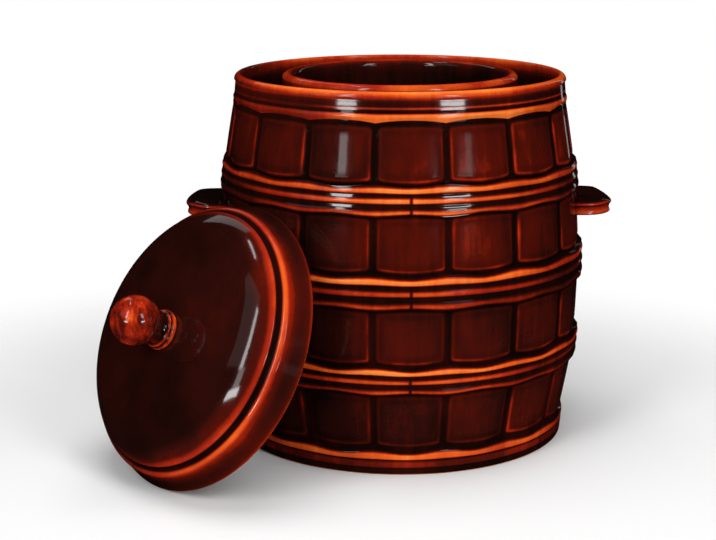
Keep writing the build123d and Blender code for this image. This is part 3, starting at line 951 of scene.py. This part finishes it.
class CROCK_OT_build_knob(bpy.types.Operator):
    """Build the ball knob with its flared foot and collared neck"""

    bl_idname = "crock.build_knob"
    bl_label = "Knob"

    def execute(self, context):
        foot_top = DOME_HEIGHT + KNOB_FOOT_HEIGHT
        collar_top = foot_top + KNOB_COLLAR_HEIGHT
        swell = KNOB_COLLAR_RADIUS - KNOB_NECK_RADIUS
        outline = [(4.0, DOME_HEIGHT, 0.6)]
        # Foot ring and collar, both with a half round edge
        for radius, bulge, low, tall in (
                (KNOB_FOOT_RADIUS - swell / 2, swell / 2, DOME_HEIGHT, KNOB_FOOT_HEIGHT),
                (KNOB_NECK_RADIUS, swell, foot_top, KNOB_COLLAR_HEIGHT)):
            for share in (0.0, *parts(10)):
                hump = math.sqrt(1 - (2 * share - 1)**2)
                outline.append((radius + bulge * hump, low + tall * share, 0.75 - 0.6 * hump))
        start = -math.degrees(math.acos(KNOB_NECK_RADIUS / KNOB_BALL_RADIUS))
        ball_low = KNOB_BALL_HEIGHT - math.sqrt(KNOB_BALL_RADIUS**2 - KNOB_NECK_RADIUS**2)
        outline.append((KNOB_NECK_RADIUS, mix(collar_top, ball_low, 0.6), 0.6))
        for radius, height in arc((0, KNOB_BALL_HEIGHT), KNOB_BALL_RADIUS, start, 88, 30):
            lift = (height - ball_low) / (KNOB_BALL_HEIGHT + KNOB_BALL_RADIUS - ball_low)
            outline.append((radius, height, 0.57 - 0.12 * smooth(0.1, 0.6, lift)))
        material = glaze_material("knob_glaze", 3.0, (150.0, 90.0, 60.0), 1.5, 1.0)
        lid_piece("lid_knob_glazed", "lid_knob", outline, 96, material, 0.16)
        return {"FINISHED"}


# ---------------------------------------------------------------- lugs and stones


class CROCK_OT_build_handles(bpy.types.Operator):
    """Build the two lug handles"""

    bl_idname = "crock.build_handles"
    bl_label = "Lug handles"

    def execute(self, context):
        material = glaze_material("lug_glaze", 4.0, (40.0, 40.0, 25.0))
        points, faces, glaze = self.lug()
        for name, turn in (("handle_right", 0.0), ("handle_left", math.pi)):
            spin = np.array(Matrix.Rotation(turn, 3, "Z"))
            make_mesh(name + "_glazed", points * MM @ spin.T, faces, glaze,
                      "jar", name, material)
        return {"FINISHED"}

    def lug(self):
        """Half disc with a domed top, a hollowed edge and a flat underside."""
        root = cask_radius(HANDLE_HEIGHT)
        start = root - HANDLE_SUNK
        plan = [(start, -HANDLE_HALF_CHORD)]
        for step in range(49):
            angle = math.pi * (step / 48 - 0.5)
            x, y = math.cos(angle), math.sin(angle)
            plan.append((root + HANDLE_REACH * abs(x)**HANDLE_FULLNESS,
                         HANDLE_HALF_CHORD * math.copysign(abs(y)**HANDLE_FULLNESS, y)))
        plan = np.array([*plan, (start, HANDLE_HALF_CHORD)])
        centre = np.array([root - 2.0, 0.0])
        rings, glaze = [], []

        def top(points):
            """Height of the domed top over points of the plan."""
            along = np.clip((points[:, 0] - root) / HANDLE_REACH, 0, 1)
            fall = mix(HANDLE_ROOT_THICKNESS, HANDLE_TIP_THICKNESS, along**3)
            across = (points[:, 1] / HANDLE_HALF_CHORD)**2
            sides = mix(HANDLE_ROOT_THICKNESS, HANDLE_SIDE_THICKNESS, across)
            return HANDLE_HEIGHT + np.minimum(fall, sides)

        def add(flat, height, shade):
            """One ring over points of the plan."""
            ones = np.ones(len(plan))
            rings.append(np.column_stack([flat, height * ones]))
            glaze.append(shade * ones)

        for share in (0.15, 0.4, 0.58, 0.70, 0.78):
            flat = centre + (plan - centre) * share
            add(flat, top(flat), 0.93)
        thickness = top(plan) - HANDLE_HEIGHT
        inward = centre - plan
        inward /= np.linalg.norm(inward, axis=1)[:, None]
        # The glaze is darker in the hollow at the tip
        tipward = smooth(0.80, 0.97, (plan[:, 0] - root) / HANDLE_REACH)
        for inset, drop, shade, tip_darkening in HANDLE_EDGE:
            add(plan + inward * inset,
                HANDLE_HEIGHT + thickness * (1 - drop / HANDLE_EDGE_THICKNESS),
                shade + tip_darkening * tipward)
        for inset, rise, shade in ((1.2, 0.9, 0.32), (1.0, 0.3, 0.7), (1.7, 0.0, 0.9)):
            add(plan + inward * inset, HANDLE_HEIGHT + rise, shade)
        for share in (0.85, 0.5, 0.2):
            add(centre + (plan - centre) * share, HANDLE_HEIGHT, 0.8)
        points, faces = skin(rings, [*centre, top(centre[None])[0]], [*centre, HANDLE_HEIGHT])
        # Its rings run from the top down, so its faces are turned over
        faces = [(face[0], *face[:0:-1]) for face in faces]
        return points, faces, np.concatenate([*glaze, [0.93, 0.8]])


class CROCK_OT_build_stones(bpy.types.Operator):
    """Build the two half-moon weight stones on the jar's floor"""

    bl_idname = "crock.build_stones"
    bl_label = "Weight stones"

    def execute(self, context):
        material = clay_material("bare_stoneware")
        points, faces = self.half_moon()
        for name, body, turn in (("weight_stone_right", "right_stone", 0.0),
                                 ("weight_stone_left", "left_stone", math.pi)):
            spin = np.array(Matrix.Rotation(turn, 3, "Z"))
            make_mesh(name + "_fired", points * MM @ spin.T, faces, np.zeros(len(points)),
                      body, name, material)
        return {"FINISHED"}

    def half_moon(self):
        """Half disc with rounded edges, lying on the jar's floor."""
        inner = STONE_RADIUS - STONE_EDGE_ROUND
        low = STONE_SPLIT / 2 + STONE_EDGE_ROUND
        reach = math.sqrt(inner**2 - low**2)
        limit = math.degrees(math.atan2(reach, low))
        plan = arc((0, 0), inner, -limit, limit, 64)
        plan = np.array(plan + [(low, reach * (1 - step / 16)) for step in range(1, 32)])
        along = np.roll(plan, -1, axis=0) - np.roll(plan, 1, axis=0)
        outward = np.column_stack([along[:, 1], -along[:, 0]])
        outward /= np.linalg.norm(outward, axis=1)[:, None]
        base = FLOOR_THICKNESS + STONE_GAP
        top = base + STONE_THICKNESS
        centre = np.array([STONE_RADIUS * 0.42, 0.0])
        rings = []

        def add(flat, height):
            """One level ring."""
            rings.append(np.column_stack([flat, np.full(len(plan), height)]))

        for share in (0.25, 0.6, 0.9):
            add(centre + (plan - centre) * share, base)
        for start, height in ((-90, base + STONE_EDGE_ROUND), (0, top - STONE_EDGE_ROUND)):
            for out, level in arc((0, height), STONE_EDGE_ROUND, start, start + 90, 6):
                add(plan + outward * out, level)
        for share in (0.9, 0.6, 0.25):
            add(centre + (plan - centre) * share, top)
        return skin(rings, [*centre, base], [*centre, top])


# ---------------------------------------------------------------- stage


def stage_mesh(name, points, faces, material):
    """Object of the stage from points in metres."""
    mesh = bpy.data.meshes.new(name)
    mesh.from_pydata([tuple(point) for point in points], [], faces)
    mesh.materials.append(material)
    piece = bpy.data.objects.new(name, mesh)
    bpy.context.scene.collection.objects.link(piece)
    return piece


def from_front(bearing, distance, height=0.0):
    """Point at a bearing in degrees, counted from the jar's front to the right."""
    turn = math.radians(bearing - 90)
    return Vector((distance * math.cos(turn), distance * math.sin(turn), height))


class CROCK_OT_build_stage(bpy.types.Operator):
    """Set up the pale floor, the soft lamps, the white background and the camera"""

    bl_idname = "crock.build_stage"
    bl_label = "Stage"

    def execute(self, context):
        stage = context.scene.crock_stage
        self.floor(stage)
        self.world(context.scene, stage)
        self.lamps(stage)
        self.cards(stage.card_glow)
        self.flags()
        self.camera(context.scene)
        context.scene.view_settings.view_transform = "Standard"
        return {"FINISHED"}

    def floor(self, stage):
        """Pale disc on the ground that fades into the white background."""
        material = bpy.data.materials.new("pale_paper")
        finish = Finish(material)
        place = finish.node("Mapping", "Vector", {
            "Vector": finish.node("TexCoord", "Object"),
            "Location": (FLOOR_SHIFT, FLOOR_SHIFT, 0.0)})
        away = finish.node("VectorMath", "Value", {0: place}, operation="LENGTH")
        fade = finish.ranged(away, stage.floor_radius * 0.45, stage.floor_radius,
                             interpolation_type="SMOOTHSTEP")
        finish.surface(finish.node("MixShader", "Shader", {
            "Fac": fade,
            1: finish.node("BsdfDiffuse", "BSDF", {"Color": (*stage.floor_color, 1.0)}),
            2: finish.node("BsdfTransparent", "BSDF")}))
        count = 96
        edge = [(x - FLOOR_SHIFT, y - FLOOR_SHIFT, z)
                for x, y, z in circle(count, stage.floor_radius * 1.15, 0.0)]
        faces = [(0, j + 1, (j + 1) % count + 1) for j in range(count)]
        floor = stage_mesh("pale_floor", [(0, 0, 0), *edge], faces, material)
        floor.location.z = -0.0003

    def world(self, scene, stage):
        """White to the eye and in reflections, and a soft grey as a light."""
        scene.world = bpy.data.worlds.new("white_studio")
        finish = Finish(scene.world)
        path = finish.tree.nodes.new("ShaderNodeLightPath").outputs
        seen = finish.math("MAXIMUM", path["Is Camera Ray"], path["Is Glossy Ray"])
        seen = finish.math("MAXIMUM", seen, path["Is Transmission Ray"])
        light, white = (finish.node("Background", "Background", {
            "Color": WHITE, "Strength": level}) for level in (stage.ambient, 1.0))
        finish.surface(finish.node("MixShader", "Shader", {"Fac": seen, 1: light, 2: white}),
                       "World")

    def lamp(self, name, bearing, distance, height, size, power):
        """Soft area lamp at a bearing from the jar's front, aimed at the jar."""
        data = bpy.data.lights.new(name, "AREA")
        data.shape = "RECTANGLE"
        data.size, data.size_y = size
        data.energy = power
        lamp = bpy.data.objects.new(name, data)
        lamp.location = from_front(bearing, distance, height)
        towards = Vector((0, 0, LAMP_AIM_HEIGHT)) - lamp.location
        lamp.rotation_euler = towards.to_track_quat("-Z", "Y").to_euler()
        lamp.visible_glossy = False
        bpy.context.scene.collection.objects.link(lamp)

    def lamps(self, stage):
        """Two side lamps, one over the camera and one over the jar, all soft."""
        self.lamp("left_lamp", -36.0, 1.6, 0.95, (0.5, 1.2), stage.side_power)
        self.lamp("right_lamp", 30.0, 1.6, 0.95, (0.6, 1.2), stage.side_power)
        self.lamp("front_lamp", -2.0, 2.2, 1.5, (1.4, 1.0), stage.front_power)
        self.lamp("top_lamp", 0.0, 0.05, 2.0, (1.2, 1.2), stage.top_power)

    def only_reflected(self, piece):
        """Stage piece that is seen in reflections alone and casts no shadow."""
        for ray in ("camera", "diffuse", "shadow", "transmission", "volume_scatter"):
            setattr(piece, "visible_" + ray, False)

    def card(self, name, corners, glow):
        """Bright face between four corners, seen only in reflections."""
        material = bpy.data.materials.new(name)
        finish = Finish(material)
        finish.surface(finish.node("Emission", "Emission", {"Strength": glow}))
        self.only_reflected(stage_mesh(name, corners, [(0, 1, 2, 3)], material))

    def cards(self, glow):
        """Softbox faces that give the glaze its upright streaks."""
        for name, bearing, low, high, width, share in (
                ("left_softbox_low", -38.2, 0.19, 0.34, 0.36, 0.72),
                ("left_softbox_middle", -37.6, 0.34, 0.64, 0.21, 0.17),
                ("left_softbox_high", -40.5, 0.64, 1.9, 0.15, 0.46),
                ("left_fill", -58.0, 0.68, 2.6, 1.1, 0.018),
                ("right_softbox_low", 31.0, 0.19, 0.34, 0.46, 0.76),
                ("right_softbox_middle", 36.5, 0.34, 0.64, 0.16, 0.05),
                ("right_softbox_high", 32.5, 0.72, 1.4, 0.30, 0.34),
                ("right_back_strip", 141.8, 0.0, 1.6, 0.09, 0.05),
                ("back_fill", 212.0, 1.13, 3.1, 0.42, 0.045)):
            across = from_front(bearing + 90, width / 2)
            self.card(name, [from_front(bearing, CARD_DISTANCE, height) + side * across
                             for side, height in ((-1, low), (1, low), (1, high), (-1, high))],
                      glow * share)
        self.card("top_softbox", ((-0.82, -0.1, 2.2), (-0.72, -0.1, 2.2), (-0.72, 0.5, 2.2),
                                  (-0.82, 0.5, 2.2)), glow * 0.4)

    def flags(self):
        """Dark studio flags that only reflections see, as round a glossy dark pot."""
        material = bpy.data.materials.new("black_velvet")
        finish = Finish(material)
        finish.surface(finish.node("BsdfPrincipled", "BSDF", {
            "Base Color": (0.004, 0.004, 0.004, 1.0), "Roughness": 1.0,
            "Specular IOR Level": 0.0}))
        count = 48
        outline = ((0.01, -0.0001), (2.9, -0.0001), (3.0, 0.1), (3.0, 3.4), (2.2, 4.2),
                   (0.01, 4.4))
        points = [point for level in outline for point in circle(count, *level)]
        self.only_reflected(stage_mesh("dark_flags", points,
                                       side_faces(len(outline), count), material))

    def camera(self, scene):
        """Camera at the photograph's viewing angle."""
        data = bpy.data.cameras.new("photo_view")
        data.sensor_width = SENSOR_WIDTH
        data.lens = FOCAL_LENGTH
        data.clip_end = 50.0
        camera = bpy.data.objects.new("photo_view", data)
        heading = CAMERA_TURN - CAMERA_BEARING
        ahead = Vector((-math.sin(heading) * math.cos(CAMERA_TILT),
                        math.cos(heading) * math.cos(CAMERA_TILT), -math.sin(CAMERA_TILT)))
        right = Vector((math.cos(heading), math.sin(heading), 0))
        matrix = Matrix((right, right.cross(ahead), -ahead)).transposed().to_4x4()
        matrix.translation = Vector((-CAMERA_DISTANCE * math.sin(CAMERA_BEARING),
                                     -CAMERA_DISTANCE * math.cos(CAMERA_BEARING),
                                     CAMERA_HEIGHT)) * MM
        camera.matrix_world = matrix
        scene.collection.objects.link(camera)
        scene.camera = camera


# ---------------------------------------------------------------- add-on


class CROCK_PT_panel(bpy.types.Panel):
    """Sizes, colours and build steps of the crock"""

    bl_idname = "CROCK_PT_panel"
    bl_label = "Crock"
    bl_space_type = "VIEW_3D"
    bl_region_type = "UI"
    bl_category = "Crock"

    def draw(self, context):
        scene = context.scene
        for group in (scene.crock_shape, scene.crock_glaze, scene.crock_stage):
            box = self.layout.box()
            for name in group.__annotations__:
                box.prop(group, name)
        for step in BUILD_STEPS:
            self.layout.operator(step.bl_idname)


BUILD_STEPS = (CROCK_OT_build_jar, CROCK_OT_build_handles, CROCK_OT_build_lid,
               CROCK_OT_build_knob, CROCK_OT_build_stones, CROCK_OT_build_stage)
CLASSES = (CrockShape, CrockGlaze, CrockStage, *BUILD_STEPS, CROCK_PT_panel)


def register():
    for item in CLASSES:
        bpy.utils.register_class(item)
    bpy.types.Scene.crock_shape = bpy.props.PointerProperty(type=CrockShape)
    bpy.types.Scene.crock_glaze = bpy.props.PointerProperty(type=CrockGlaze)
    bpy.types.Scene.crock_stage = bpy.props.PointerProperty(type=CrockStage)


def unregister():
    del bpy.types.Scene.crock_shape
    del bpy.types.Scene.crock_glaze
    del bpy.types.Scene.crock_stage
    for item in reversed(CLASSES):
        bpy.utils.unregister_class(item)


def main():
    register()
    bpy.ops.crock.build_jar()
    bpy.ops.crock.build_handles()
    bpy.ops.crock.build_lid()
    bpy.ops.crock.build_knob()
    bpy.ops.crock.build_stones()
    bpy.ops.crock.build_stage()


if __name__ == "__main__":
    main()
